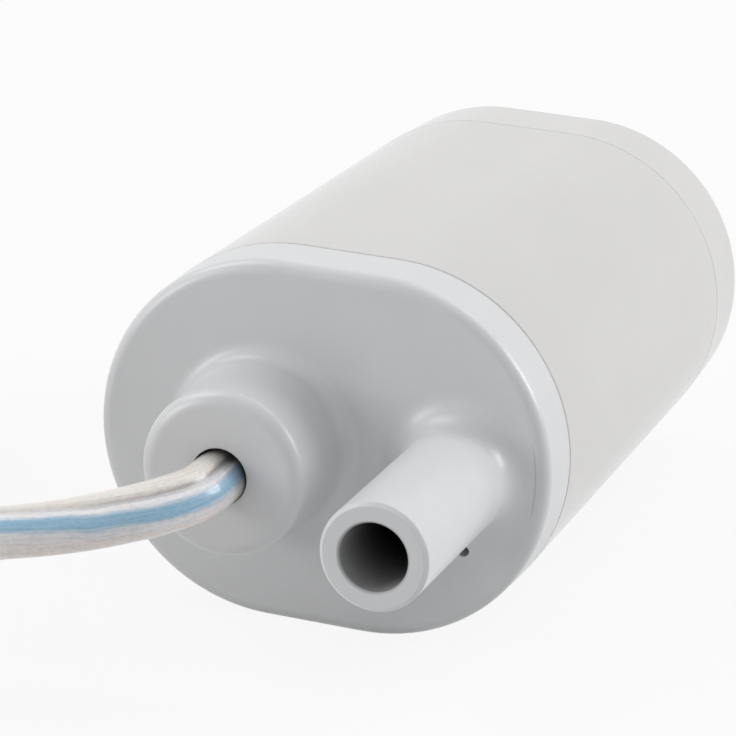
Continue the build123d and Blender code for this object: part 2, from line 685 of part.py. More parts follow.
def motor_screws():
    """Two screws through the bulkhead into the can, heads sunk on the wet side."""
    under_head = CHAMBER_START - MOTOR_SCREW_HEAD_LENGTH
    return [
        slotted_screw(
            MOTOR_SCREW_RADIUS,
            MOTOR_SCREW_LENGTH,
            MOTOR_SCREW_HEAD_RADIUS,
            MOTOR_SCREW_HEAD_LENGTH,
            under_head,
            x,
            height,
        )
        for x, height in motor_screw_places()
    ]


def shaft_seal():
    """Rubber lip seal in the bulkhead: its lip rides on the shaft at the wet side."""
    lip = SHAFT_RADIUS + RUNNING_GAP
    web = SEAL_START + SEAL_WEB_THICKNESS
    profile = [
        (SEAL_RADIUS, SEAL_START),
        (SEAL_RADIUS, SEAL_END),
        (SEAL_RADIUS - SEAL_RIM_THICKNESS, SEAL_END),
        (SEAL_RADIUS - SEAL_RIM_THICKNESS, web),
        (lip + SEAL_LIP_THICKNESS, web),
        (lip + SEAL_LIP_THICKNESS, SEAL_START + SEAL_LIP_RISE),
        (lip, SEAL_START + SEAL_LIP_RISE),
        (lip, web),
        (lip + SEAL_LIP_THICKNESS / 2, SEAL_START),
    ]
    return turned(profile)


def polar(radius, angle):
    """Point at a radius and an angle in degrees."""
    return radius * math.cos(math.radians(angle)), radius * math.sin(math.radians(angle))


def vane_outline():
    """One backward-curved vane, from inside the hub to the rim."""
    inner = IMPELLER_HUB_RADIUS - VANE_THICKNESS / 2
    outer = IMPELLER_RADIUS + VANE_THICKNESS
    curve = ThreePointArc(
        polar(inner, 0),
        polar((inner + outer) / 2, VANE_SWEEP * VANE_BEND_SHARE),
        polar(outer, VANE_SWEEP),
    )
    return trace(curve, line_width=VANE_THICKNESS) & Circle(IMPELLER_RADIUS)


def impeller():
    """Open impeller: back disc, hub and backward-curved vanes."""
    near = IMPELLER_START
    disc_end = near + IMPELLER_DISC
    wheel = rod(IMPELLER_RADIUS, near, disc_end)
    wheel += rod(IMPELLER_HUB_RADIUS, near, near + IMPELLER_HUB_LENGTH)
    vane = vane_outline()
    for index in range(VANES):
        turned_vane = Pos(MOTOR_X, 0) * Rot(0, 0, 360 * index / VANES) * vane
        wheel += slab(turned_vane, disc_end, disc_end + VANE_HEIGHT)
    return wheel - rod(SHAFT_RADIUS, near, near + IMPELLER_HUB_LENGTH)


def chamber_cover():
    """Plate that closes the pump chamber, with the inlet eye and its collar."""
    plate = slab(stadium(SHELL_WALL + FIT_GAP), COVER_START, COVER_END)
    plate += rod(EYE_RADIUS + EYE_COLLAR_WALL, COVER_END, COVER_END + EYE_COLLAR_LENGTH)
    plate -= rod(EYE_RADIUS, COVER_START, COVER_END + EYE_COLLAR_LENGTH)
    for x, height in cover_screw_places():
        plate -= rod(COVER_SCREW_RADIUS + FIT_GAP, COVER_START, COVER_END, x, height)
    return plate


def cover_screws():
    """Two self-tapping screws that hold the cover to the housing's bosses."""
    return [
        slotted_screw(
            COVER_SCREW_RADIUS,
            COVER_SCREW_LENGTH,
            COVER_SCREW_HEAD_RADIUS,
            COVER_SCREW_HEAD_LENGTH,
            COVER_END,
            x,
            height,
        )
        for x, height in cover_screw_places()
    ]


def inlet_base():
    """End cup with the strainer slots, whose tongue snaps into the housing."""
    plane = Plane(origin=(0, at(HOUSING_END), AXIS_HEIGHT), x_dir=(1, 0, 0), z_dir=(0, 1, 0))
    taper = math.degrees(math.atan(BASE_DRAFT / BASE_SKIRT))
    base = extrude(plane * stadium(HOUSING_DRAFT), amount=BASE_SKIRT, taper=taper)
    base = chamfer(rim_edges(base, True), BASE_SEAM_CHAMFER)
    base = fillet(rim_edges(base, False), BASE_EDGE_ROUND)
    base += slab(stadium(SHELL_WALL + FIT_GAP), COVER_END, HOUSING_END)
    cavity = SHELL_WALL + FIT_GAP + TONGUE_WALL
    base -= slab(stadium(cavity), COVER_END, BODY_LENGTH - BASE_FLOOR)
    panel = stadium(BASE_PANEL_INSET)
    base -= slab(panel, BODY_LENGTH - BASE_PANEL_DEPTH, BODY_LENGTH)
    slots = Sketch()
    for column in range(SLOT_COUNT):
        x = (column - (SLOT_COUNT - 1) / 2) * SLOT_PITCH
        for side in (1, -1):
            slots += Pos(x, side * (SLOT_LENGTH + SLOT_BAR) / 2) * Rot(0, 0, 90) * SlotOverall(SLOT_LENGTH, SLOT_WIDTH)
    base -= slab(slots, BODY_LENGTH - BASE_FLOOR - OVERRUN, BODY_LENGTH)
    return base


def cable_entry():
    """Straight end of the cable inside the boss and the grommet."""
    return rod(CABLE_RADIUS, -BOSS_LENGTH, CAP_WALL + OVERRUN)


def motor_leads():
    """Two insulated leads from the cable's end to the terminals."""
    start = CAP_WALL + OVERRUN
    end = BELL_START - (TERMINAL_REACH + LEAD_RADIUS) / 2
    leads = []
    for side in (1, -1):
        near = MOTOR_X + side * CABLE_RADIUS / 2
        far = MOTOR_X + side * (TERMINAL_OFFSET - TERMINAL_THICKNESS / 2)
        points = [
            (near, at(start), AXIS_HEIGHT),
            (near, at(end), AXIS_HEIGHT),
            (far, at(end), AXIS_HEIGHT),
        ]
        path = FilletPolyline(*points, radius=LEAD_BEND)
        section = Plane(origin=path @ 0, z_dir=path % 0) * Circle(LEAD_RADIUS)
        leads.append(sweep(section, path=path))
    return leads


def route_radii(points, share=0.45):
    """Radius of the arc at each inner point of a cable's route, and prints the tightest."""
    corners = [Vector(*point) for point in points]
    radii = []
    for before, here, after in zip(corners, corners[1:], corners[2:]):
        turn = math.radians((here - before).get_angle(after - here))
        run = min((here - before).length, (after - here).length)
        radii.append(share * run / math.tan(turn / 2))
    print("cable radii", [round(radius, 1) for radius in radii])
    return radii


def supply_cable():
    """Free stretch of the cable, from the boss down to the floor and up to the coil."""
    path = FilletPolyline(*CABLE_ROUTE, radius=route_radii(CABLE_ROUTE))
    section = Plane(origin=path @ 0, z_dir=path % 0) * Circle(CABLE_RADIUS)
    tube = sweep(section, path=path)
    expected = math.pi * CABLE_RADIUS**2 * path.length
    print("supply_cable length", round(path.length, 1), "volume share", round(tube.volume / expected, 4))
    return tube


def coil_passes():
    """Where the coil crosses its middle line: side (-1 near, 1 far), radius and height.

    The first layer spirals in, the cable climbs in one more half turn inwards, and the second
    layer spirals out again over the first.
    """
    passes = []
    for turn in range(COIL_TURNS_IN):
        radius = COIL_RADIUS - turn * COIL_PITCH
        passes.append((-1, radius, LAYER_ONE))
        passes.append((1, radius, LAYER_ONE))
    inner = COIL_RADIUS - COIL_TURNS_IN * COIL_PITCH
    for turn in range(COIL_TURNS_IN - 1):
        passes.append((-1, inner + turn * COIL_PITCH, LAYER_TWO))
        passes.append((1, inner + (turn + 2) * COIL_PITCH, LAYER_TWO))
    passes.append((-1, inner + (COIL_TURNS_IN - 1) * COIL_PITCH, LAYER_TWO))
    return passes


def half_turn(start, end, heading):
    """Two arcs of a quarter turn from start to end, which leave and arrive along X."""
    reach = (end - start).length / 2
    first_corner = start + Vector(heading * reach, 0, 0)
    last_corner = end + Vector(heading * reach, 0, 0)
    join = (first_corner + last_corner) * (1 / 2)
    return [quarter_arc(start, first_corner, join), quarter_arc(join, last_corner, end)]


def quarter_arc(start, corner, end):
    """Arc from start to end that touches both legs of the corner."""
    chord_middle = (start + end) * (1 / 2)
    half_chord = (end - start).length / 2
    leg = (corner - start).length
    lean = math.acos(half_chord / leg)
    rise = half_chord * math.tan(lean / 2)
    middle = chord_middle + (corner - chord_middle).normalized() * rise
    return ThreePointArc(start, middle, end)


def coil_path():
    """Centre line of the coil, from the straight run at its start to the one at its end."""
    points = [
        Vector(COIL_CENTRE[0], COIL_CENTRE[1] + side * radius, height)
        for side, radius, height in coil_passes()
    ]
    straight = Vector(2 * CABLE_RADIUS, 0, 0)
    edges = [Line(points[0] + straight, points[0])]
    heading = -1
    for start, end in zip(points, points[1:]):
        edges += half_turn(start, end, heading)
        heading = -heading
    edges.append(Line(points[-1], points[-1] - straight))
    return Wire([edge.edge() if hasattr(edge, "edge") else edge for edge in edges])


def cable_coil():
    """Rest of the cable, put away in a coil of two layers beside the pump."""
    path = coil_path()
    section = Plane(origin=path @ 0, z_dir=path % 0) * Circle(CABLE_RADIUS)
    coil = sweep(section, path=path)
    expected = math.pi * CABLE_RADIUS**2 * path.length
    print("cable_coil length", round(path.length, 1), "volume share", round(coil.volume / expected, 4))
    print("cable_coil least gap to itself", round(least_gap(path), 2))
    return coil


def least_gap(path):
    """Least distance between stretches of the path that aren't neighbours, less a diameter."""
    count = int(path.length / GAP_STEP)
    points = [path @ (index / count) for index in range(count + 1)]
    skip = int(6 * CABLE_RADIUS / GAP_STEP)
    least = COIL_RADIUS
    for index, point in enumerate(points):
        for other in points[index + skip :]:
            least = min(least, (point - other).length)
    return least - 2 * CABLE_RADIUS


def coil_end():
    """Middle of the cable's cut end on top of the coil."""
    side, radius, height = coil_passes()[-1]
    return Vector(COIL_CENTRE[0] - 2 * CABLE_RADIUS, COIL_CENTRE[1] + side * radius, height)


def split_core(side):
    """Start and end of one parted core, which starts inside the cable's last diameter."""
    start = coil_end() + Vector(-CABLE_RADIUS, side * CORE_WIRE_RADIUS, 0)
    return start, start + Vector(-SPLIT_LENGTH, side * SPLIT_SPREAD, 0)


def straight_wire(start, end, radius):
    """Round bar between two points."""
    plane = Plane(origin=start, z_dir=end - start)
    return extrude(plane * Circle(radius), amount=(end - start).length)


def cable_cores():
    """The cable's last stretch with its two insulated cores parted."""
    cores = straight_wire(coil_end(), coil_end() - Vector(2 * CABLE_RADIUS, 0, 0), CABLE_RADIUS)
    for side in (1, -1):
        start, end = split_core(side)
        cores += straight_wire(start, end, CORE_WIRE_RADIUS)
    return cores


def tinned_tips():
    """Bare tinned ends of the two cores."""
    tips = []
    for side in (1, -1):
        start, end = split_core(side)
        direction = (end - start).normalized()
        tips.append(straight_wire(end, end + direction * TIP_LENGTH, TIP_RADIUS))
    return tips


PIECES = {
    "housing": housing,
    "top_cap": top_cap,
    "inlet_base": inlet_base,
    "chamber_cover": chamber_cover,
    "cover_screws": cover_screws,
    "cap_seal": cap_seal,
    "duct_seal": duct_seal,
    "cable_grommet": cable_grommet,
    "motor_can": motor_can,
    "magnet_right": lambda: magnet(1),
    "magnet_left": lambda: magnet(-1),
    "magnet_clips": magnet_clips,
    "end_bell": end_bell,
    "rear_bush": rear_bush,
    "front_bush": front_bush,
    "motor_terminals": motor_terminals,
    "brush_arms": brush_arms,
    "carbon_brushes": carbon_brushes,
    "suppression_capacitor": suppression_capacitor,
    "motor_leads": motor_leads,
    "motor_screws": motor_screws,
    "shaft_seal": shaft_seal,
    "motor_shaft": motor_shaft,
    "rotor_core": rotor_core,
    "rotor_windings": rotor_windings,
    "commutator": commutator,
    "commutator_hub": commutator_hub,
    "thrust_washers": thrust_washers,
    "impeller": impeller,
    "vent_ball": vent_ball,
    "cable_entry": cable_entry,
    "supply_cable": supply_cable,
    "cable_coil": cable_coil,
    "cable_cores": cable_cores,
    "tinned_tips": tinned_tips,
}


def main():
    """Builds every piece and writes one STEP file for each."""
    os.makedirs("parts", exist_ok=True)
    for name, build in PIECES.items():
        shape = build()
        if isinstance(shape, list):
            shape = Compound(children=shape)
        export_step(shape, f"parts/{name}.step")


main()
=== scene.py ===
"""Looks of a submersible caravan water pump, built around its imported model.

Everything is in metres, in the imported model's own frame: the pump's axis runs along Y, the cap
with its cable boss and hose spigot faces -Y, Z is up and the floor is at zero.
"""

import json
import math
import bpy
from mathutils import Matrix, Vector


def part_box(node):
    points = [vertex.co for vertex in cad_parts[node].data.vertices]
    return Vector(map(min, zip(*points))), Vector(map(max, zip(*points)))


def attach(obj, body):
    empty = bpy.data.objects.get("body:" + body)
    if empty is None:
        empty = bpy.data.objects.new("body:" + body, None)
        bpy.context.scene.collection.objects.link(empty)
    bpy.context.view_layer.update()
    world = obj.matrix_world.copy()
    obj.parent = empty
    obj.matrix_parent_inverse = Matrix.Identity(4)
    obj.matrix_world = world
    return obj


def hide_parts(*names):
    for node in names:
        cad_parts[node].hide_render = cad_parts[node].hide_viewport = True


bl_info = {
    "name": "Caravan Water Pump",
    "version": (1, 0, 0),
    "blender": (4, 5, 0),
    "location": "3D View > Sidebar > Water Pump",
    "description": "Builds the looks of a small submersible water pump around its packed model",
    "category": "Object",
}

import bmesh
import bpy
from bpy.props import FloatProperty, FloatVectorProperty, IntProperty, PointerProperty
from mathutils import Matrix, Vector

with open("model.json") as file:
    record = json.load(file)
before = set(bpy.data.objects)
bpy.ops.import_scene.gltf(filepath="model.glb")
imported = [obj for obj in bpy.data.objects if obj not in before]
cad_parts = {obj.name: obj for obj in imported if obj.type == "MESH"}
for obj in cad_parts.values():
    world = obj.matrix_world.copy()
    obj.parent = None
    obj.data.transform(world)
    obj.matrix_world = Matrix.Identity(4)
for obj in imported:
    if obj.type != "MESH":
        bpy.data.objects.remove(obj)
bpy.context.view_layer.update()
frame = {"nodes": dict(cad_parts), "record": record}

MM = 0.001

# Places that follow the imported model
HOUSING_LOW, HOUSING_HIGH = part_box("housing")
SPIGOT_TIP_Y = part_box("top_cap")[0].y
ENTRY_LOW, ENTRY_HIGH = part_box("cable_entry")
TIPS_LOW, TIPS_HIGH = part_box("tinned_tips")
AXIS_HEIGHT = (HOUSING_LOW.z + HOUSING_HIGH.z) / 2
MOTOR_X = (ENTRY_LOW.x + ENTRY_HIGH.x) / 2
BOSS_TIP_Y = ENTRY_LOW.y
CABLE_START_Y = ENTRY_HIGH.y

# Route of the cable from the boss to the coil: the points of the part's source, a little
# lower near the boss
COIL_CENTRE = Vector((-76.0, -18.5, 0)) * MM
COIL_RADIUS = 32.5 * MM
COIL_TURNS_IN = 3
COIL_PITCH = 5.7 * MM
LAYER_ONE = 2.7 * MM
LAYER_TWO = LAYER_ONE + COIL_PITCH
POINTS_PER_TURN = 24
ROUTE = [
    (MOTOR_X / MM, CABLE_START_Y / MM, AXIS_HEIGHT / MM),
    (MOTOR_X / MM, BOSS_TIP_Y / MM, AXIS_HEIGHT / MM),
    (MOTOR_X / MM, -37.1, 17.35),
    (-7.8, -40.8, 16.95),
    (-11.3, -43.6, 16.15),
    (-15.8, -46.3, 15.3),
    (-20.6, -48.4, 14.75),
    (-28.6, -50.7, 13.0),
    (-36.8, -51.3, 10.4),
    (-45.1, -51.2, 7.4),
    (-53.4, -51.1, 4.7),
    (-62.0, -51.0, 2.7),
]

# Roll of the flat cable: run from its start in mm, and degrees that its flat side leans over
CABLE_ROLL = [(14, 27), (21.5, 40), (28, 33), (32, 21), (37, 13), (52, -20), (74, -75), (88, -90)]

# Length of the cable's last straight, and points of its smooth line from each control point
CABLE_END_STRAIGHT = 5.2 * MM
LINE_RESOLUTION = 4

# Bands round the cable: degrees from the groove towards the blue core, and the band's colour
CABLE_BANDS = [
    (-180, "shade"),
    (-120, "clear"),
    (-14, "clear"),
    (0, "web"),
    (17, "web"),
    (29, "blue"),
    (50, "blue"),
    (62, "web"),
    (70, "web"),
    (88, "shade"),
    (180, "shade"),
]

# Painted shade along the groove: degrees from its middle, and its share of the groove's shade colour
GROOVE_SHADE_LINE = [(-15, 0), (-7, 1), (1, 0)]

# Half width of the groove in the cable's section, in degrees
GROOVE_SPREAD = 11

# Scales of the cable's patterns: two for the way round it, and one, per metre, for the way along it
WAVER_SCALE = (6, 6, 260)
STRAND_SCALE = (26, 26, 170)
MOTTLE_SCALE = (8, 8, 2000)

# Axis of the hose spigot, and the radius and depth of its bore that painted shade darkens
SPIGOT_X = 13.8 * MM
BORE_RADIUS = 3.2 * MM
BORE_EDGE = 0.2 * MM
BORE_FADE = 11 * MM

class PumpSizes(bpy.types.PropertyGroup):
    """Sizes of the pump's looks that a user would change."""

    cable_width: FloatProperty(
        name="Cable width",
        description="Width of the flat two-core cable across both cores",
        default=5.2 * MM,
        unit="LENGTH",
    )
    cable_thickness: FloatProperty(
        name="Cable thickness",
        description="Thickness of the flat two-core cable",
        default=4.5 * MM,
        unit="LENGTH",
    )
    groove_depth: FloatProperty(
        name="Groove depth",
        description="Depth of the groove between the two cores",
        default=0.4 * MM,
        unit="LENGTH",
    )
    section_points: IntProperty(
        name="Section points",
        description="Points round the cable's section",
        default=48,
        min=12,
    )
    edge_softness: FloatProperty(
        name="Edge softness",
        description="Radius at which moulded edges catch the light",
        default=0.12 * MM,
        unit="LENGTH",
    )


def colour_property(name, description, default):
    """Colour that a user would change."""
    return FloatVectorProperty(
        name=name, description=description, subtype="COLOR", size=3, min=0, max=1, default=default
    )


class PumpColours(bpy.types.PropertyGroup):
    """Colours of the pump's looks that a user would change."""

    shell: colour_property("Shell", "Moulded body and base", (0.63, 0.622, 0.61))
    cap: colour_property("Cap", "Moulded cap with the boss and the spigot", (0.66, 0.665, 0.67))
    cable_clear: colour_property(
        "Cable clear", "Strands seen through the clear core", (0.86, 0.82, 0.76)
    )
    # Far sides: the strands' own beige-brown, made lighter as painted bounce light from the floor
    cable_far_side_and_bounce_light: colour_property("Cable shade", "Far sides of the cable", (0.93, 0.86, 0.81))
    cable_web: colour_property("Cable web", "Clear rims beside the blue stripe", (0.86, 0.85, 0.86))
    cable_blue: colour_property("Cable blue", "Stripe on one core of the cable", (0.34, 0.57, 0.75))
    # Painted shade in the groove between the cores
    cable_groove_shade: colour_property("Cable groove", "Depth of the groove", (0.30, 0.28, 0.28))


def sizes():
    """The scene's pump sizes."""
    return bpy.context.scene.pump_sizes


def colours():
    """The scene's pump colours."""
    return bpy.context.scene.pump_colours


def new_material(name):
    """Material with a Principled shader: the material, its node tree and its shader."""
    material = bpy.data.materials.new(name)
    material.use_nodes = True
    tree = material.node_tree
    return material, tree, tree.nodes["Principled BSDF"]


def add_node(tree, kind, inputs=None, **settings):
    """Shader node with its settings and its fixed inputs."""
    made = tree.nodes.new("ShaderNode" + kind)
    for name, value in settings.items():
        setattr(made, name, value)
    for name, value in (inputs or {}).items():
        made.inputs[name].default_value = value
    return made


def own_place(tree):
    """Place on the pump, in its own coordinates."""
    return add_node(tree, "TexCoord").outputs["Object"]


def split(tree, vector):
    """The three parts of a vector."""
    parts = add_node(tree, "SeparateXYZ")
    tree.links.new(vector, parts.inputs["Vector"])
    return parts.outputs


def scaled(tree, vector, scale):
    """Vector with each part multiplied by a number of its own."""
    made = add_node(tree, "VectorMath", operation="MULTIPLY")
    made.inputs[1].default_value = scale
    tree.links.new(vector, made.inputs[0])
    return made.outputs["Vector"]


def product(tree, first, second):
    """Two numbers multiplied."""
    made = add_node(tree, "Math", operation="MULTIPLY")
    tree.links.new(first, made.inputs[0])
    tree.links.new(second, made.inputs[1])
    return made.outputs["Value"]


def noise_over(tree, vector, **inputs):
    """Noise over a vector that is already scaled."""
    made = add_node(tree, "TexNoise", inputs={"Scale": 1, **inputs})
    tree.links.new(vector, made.inputs["Vector"])
    return made.outputs["Fac"]


def noise(tree, cell, stretch=(1, 1, 1), detail=2):
    """Noise in the pump's own coordinates, with cells of one size that may be stretched."""
    fit = add_node(tree, "Mapping", inputs={"Scale": [1 / (cell * share) for share in stretch]})
    tree.links.new(own_place(tree), fit.inputs["Vector"])
    return noise_over(tree, fit.outputs["Vector"], Detail=detail)


def bands(tree, pitch, direction, distortion):
    """Even bands across one axis, from 0 to 1."""
    made = add_node(
        tree,
        "TexWave",
        inputs={"Scale": math.pi / (10 * pitch), "Distortion": distortion, "Detail Scale": 1.5},
        bands_direction=direction,
    )
    tree.links.new(own_place(tree), made.inputs["Vector"])
    return made.outputs["Fac"]


def tint(tree, factor, low_colour, high_colour, low=0.3, high=0.7):
    """Colour between two colours by a factor."""
    return stops(tree, factor, [(low, low_colour), (high, high_colour)])


def spread(tree, factor, low, high, start=0, end=1):
    """Number that goes from one limit to another as a factor goes from its start to its end."""
    made = add_node(
        tree, "MapRange", inputs={"From Min": start, "From Max": end, "To Min": low, "To Max": high}
    )
    tree.links.new(factor, made.inputs["Value"])
    return made.outputs["Result"]


def stops(tree, factor, colours_at):
    """Colour read from a list of places, from 0 to 1, and their colours."""
    ramp = add_node(tree, "ValToRGB")
    elements = ramp.color_ramp.elements
    for _ in range(len(colours_at) - 2):
        elements.new(0.5)
    for element, (place, colour) in zip(elements, colours_at):
        element.position = place
        element.color = (*colour, 1)
    tree.links.new(factor, ramp.inputs["Fac"])
    return ramp.outputs["Color"]


def blend(tree, factor, first, second):
    """First colour that turns into the second, a fixed one or a socket, by a factor."""
    mix = add_node(tree, "MixRGB")
    tree.links.new(factor, mix.inputs["Fac"])
    tree.links.new(first, mix.inputs["Color1"])
    if isinstance(second, bpy.types.NodeSocket):
        tree.links.new(second, mix.inputs["Color2"])
    else:
        mix.inputs["Color2"].default_value = (*second, 1)
    return mix.outputs["Color"]


def darkened(tree, colour, stain, share):
    """Colour multiplied by a stain, by a share."""
    mix = add_node(tree, "MixRGB", blend_type="MULTIPLY", inputs={"Fac": share})
    tree.links.new(colour, mix.inputs["Color1"])
    tree.links.new(stain, mix.inputs["Color2"])
    return mix.outputs["Color"]


def relief(tree, shader, height, depth, strength, edge=0.0):
    """Bump on a shader, over edges that catch the light when an edge radius is given."""
    bump = add_node(tree, "Bump", inputs={"Strength": strength, "Distance": depth})
    tree.links.new(height, bump.inputs["Height"])
    if edge:
        rounding = add_node(tree, "Bevel", inputs={"Radius": edge}, samples=4)
        tree.links.new(rounding.outputs["Normal"], bump.inputs["Normal"])
    tree.links.new(bump.outputs["Normal"], shader.inputs["Normal"])


def shade(colour, share):
    """Colour made lighter or darker by a share."""
    return [min(1, part * share) for part in colour]


def link_object(name, bm, material):
    """Mesh object of a finished bmesh, with one material."""
    mesh = bpy.data.meshes.new(name)
    bm.to_mesh(mesh)
    bm.free()
    mesh.materials.append(material)
    piece = bpy.data.objects.new(name, mesh)
    bpy.context.scene.collection.objects.link(piece)
    return piece


def plastic(name, colour, roughness, cell=3 * MM, grain=0.25 * MM, depth=0.01 * MM):
    """Moulded plastic: faint clouds in its colour, an uneven gloss and a fine grain."""
    material, tree, shader = new_material(name)
    clouds = noise(tree, cell, detail=3)
    colour_socket = tint(tree, clouds, shade(colour, 0.975), shade(colour, 1.025))
    tree.links.new(colour_socket, shader.inputs["Base Color"])
    gloss = noise(tree, cell * 0.6)
    tree.links.new(spread(tree, gloss, roughness * 0.85, roughness * 1.15), shader.inputs["Roughness"])
    relief(tree, shader, noise(tree, grain, detail=3), depth, 0.6)
    return material


def housing_plastic(name):
    """Glossy moulded body, with the slight waviness of a thick wall."""
    material, tree, shader = new_material(name)
    clouds = noise(tree, 9 * MM, (1, 1.8, 1), detail=3)
    shell = colours().shell
    base = tint(tree, clouds, shade(shell, 0.985), shade(shell, 1.015))
    tree.links.new(base, shader.inputs["Base Color"])
    gloss = noise(tree, 5 * MM, detail=4)
    tree.links.new(spread(tree, gloss, 0.10, 0.20), shader.inputs["Roughness"])
    shader.inputs["IOR"].default_value = 1.5
    shader.inputs["Specular IOR Level"].default_value = 0.15
    shader.inputs["Subsurface Weight"].default_value = 0.06
    shader.inputs["Subsurface Scale"].default_value = 0.6 * MM
    relief(tree, shader, noise(tree, 2.2 * MM, detail=2), 0.012 * MM, 0.5, sizes().edge_softness)
    return material


def painted_bore_shade(tree):
    """Painted shade in the spigot's bore: nothing outside it, and more away from its mouth."""
    from_axis = add_node(tree, "VectorMath", operation="DISTANCE")
    from_axis.inputs[1].default_value = (SPIGOT_X, 0, AXIS_HEIGHT)
    tree.links.new(scaled(tree, own_place(tree), (1, 0, 1)), from_axis.inputs[0])
    in_bore = spread(tree, from_axis.outputs["Value"], 1, 0, BORE_RADIUS, BORE_RADIUS + BORE_EDGE)
    along = split(tree, own_place(tree))["Y"]
    return product(
        tree, in_bore, spread(tree, along, 0.35, 0.97, SPIGOT_TIP_Y, SPIGOT_TIP_Y + BORE_FADE)
    )


def cap_plastic(name):
    """Satin moulded cap with a fine eroded grain, and painted shade that darkens its bore inwards."""
    material, tree, shader = new_material(name)
    clouds = noise(tree, 6 * MM, detail=3)
    cap = colours().cap
    base = tint(tree, clouds, shade(cap, 0.985), shade(cap, 1.015))
    # Painted shade: the bore's wall turns near black away from its mouth
    bore_shaded = blend(tree, painted_bore_shade(tree), base, (0.012, 0.012, 0.013))
    tree.links.new(bore_shaded, shader.inputs["Base Color"])
    gloss = noise(tree, 4 * MM, detail=3)
    tree.links.new(spread(tree, gloss, 0.28, 0.34), shader.inputs["Roughness"])
    shader.inputs["IOR"].default_value = 1.5
    relief(tree, shader, noise(tree, 0.35 * MM, detail=3), 0.006 * MM, 0.5, sizes().edge_softness)
    return material


def metal(name, colour, roughness, stretch=(1, 14, 1), cell=0.35 * MM, depth=0.004 * MM):
    """Metal with fine lines drawn along one axis and an uneven polish."""
    material, tree, shader = new_material(name)
    lines = noise(tree, cell, stretch, detail=3)
    base = tint(tree, lines, shade(colour, 0.85), shade(colour, 1.1))
    tree.links.new(base, shader.inputs["Base Color"])
    tree.links.new(spread(tree, lines, roughness * 0.8, roughness * 1.25), shader.inputs["Roughness"])
    shader.inputs["Metallic"].default_value = 1
    relief(tree, shader, lines, depth, 0.5)
    return material


def rubber(name, colour):
    """Matt moulded rubber with a fine bloom."""
    material, tree, shader = new_material(name)
    bloom = noise(tree, 1.2 * MM, detail=4)
    tree.links.new(tint(tree, bloom, colour, shade(colour, 1.7)), shader.inputs["Base Color"])
    shader.inputs["Roughness"].default_value = 0.7
    relief(tree, shader, noise(tree, 0.2 * MM, detail=3), 0.01 * MM, 0.5)
    return material


def pressed(name, colour, metallic, roughness, cell=0.18 * MM):
    """Pressed and sintered stuff: a speckle of grains of two tones."""
    material, tree, shader = new_material(name)
    grains = noise(tree, cell, detail=4)
    base = tint(tree, grains, shade(colour, 0.65), shade(colour, 1.35), 0.42, 0.58)
    tree.links.new(base, shader.inputs["Base Color"])
    shader.inputs["Metallic"].default_value = metallic
    tree.links.new(spread(tree, grains, roughness * 0.85, roughness * 1.15), shader.inputs["Roughness"])
    relief(tree, shader, grains, 0.012 * MM, 0.6)
    return material


def laminated(name, colour):
    """Stack of stamped steel sheets, seen as fine lines across the axis."""
    material, tree, shader = new_material(name)
    sheets = bands(tree, 0.5 * MM, "Y", 0.3)
    base = tint(tree, sheets, shade(colour, 0.45), shade(colour, 1.2), 0.1, 0.45)
    tree.links.new(base, shader.inputs["Base Color"])
    shader.inputs["Metallic"].default_value = 0.9
    shader.inputs["Roughness"].default_value = 0.4
    relief(tree, shader, sheets, 0.03 * MM, 0.7)
    return material


def wound(name, colour):
    """Enamelled wire laid in turns along the core."""
    material, tree, shader = new_material(name)
    turns = bands(tree, 0.3 * MM, "X", 1.2)
    base = tint(tree, turns, shade(colour, 0.4), shade(colour, 1.15), 0.1, 0.6)
    tree.links.new(base, shader.inputs["Base Color"])
    shader.inputs["Metallic"].default_value = 0.7
    shader.inputs["Roughness"].default_value = 0.28
    shader.inputs["Coat Weight"].default_value = 0.6
    relief(tree, shader, turns, 0.08 * MM, 0.8)
    return material


def core_insulation(name):
    """Insulation of the parted cores: blue on the outer side, and the other clear over its strands."""
    material, tree, shader = new_material(name)
    middle = (TIPS_LOW.y + TIPS_HIGH.y) / 2
    across = split(tree, own_place(tree))["Y"]
    side = spread(tree, across, 0, 1, middle - 0.2 * MM, middle + 0.2 * MM)
    streaks = noise(tree, 0.6 * MM, (8, 1, 1), detail=3)
    blue = colours().cable_blue
    clear = colours().cable_clear
    blue_core = tint(tree, streaks, shade(blue, 0.85), shade(blue, 1.15))
    clear_core = tint(tree, streaks, shade(clear, 0.8), shade(clear, 1.15))
    tree.links.new(blend(tree, side, blue_core, clear_core), shader.inputs["Base Color"])
    shader.inputs["Roughness"].default_value = 0.3
    shader.inputs["Coat Weight"].default_value = 0.4
    relief(tree, shader, streaks, 0.02 * MM, 0.4)
    return material


def round_cable(tree, section, parts):
    """Share of the way round the cable, from 0 to 1, where the strands wander a little."""
    around = add_node(tree, "Math", operation="ARCTAN2")
    tree.links.new(parts["Y"], around.inputs[0])
    tree.links.new(parts["X"], around.inputs[1])
    waver = noise_over(tree, scaled(tree, section, WAVER_SCALE), Detail=4)
    angle = add_node(tree, "Math", operation="ADD")
    tree.links.new(around.outputs["Value"], angle.inputs[0])
    tree.links.new(spread(tree, waver, -0.16, 0.16), angle.inputs[1])
    return spread(tree, angle.outputs["Value"], 0, 1, -math.pi, math.pi)


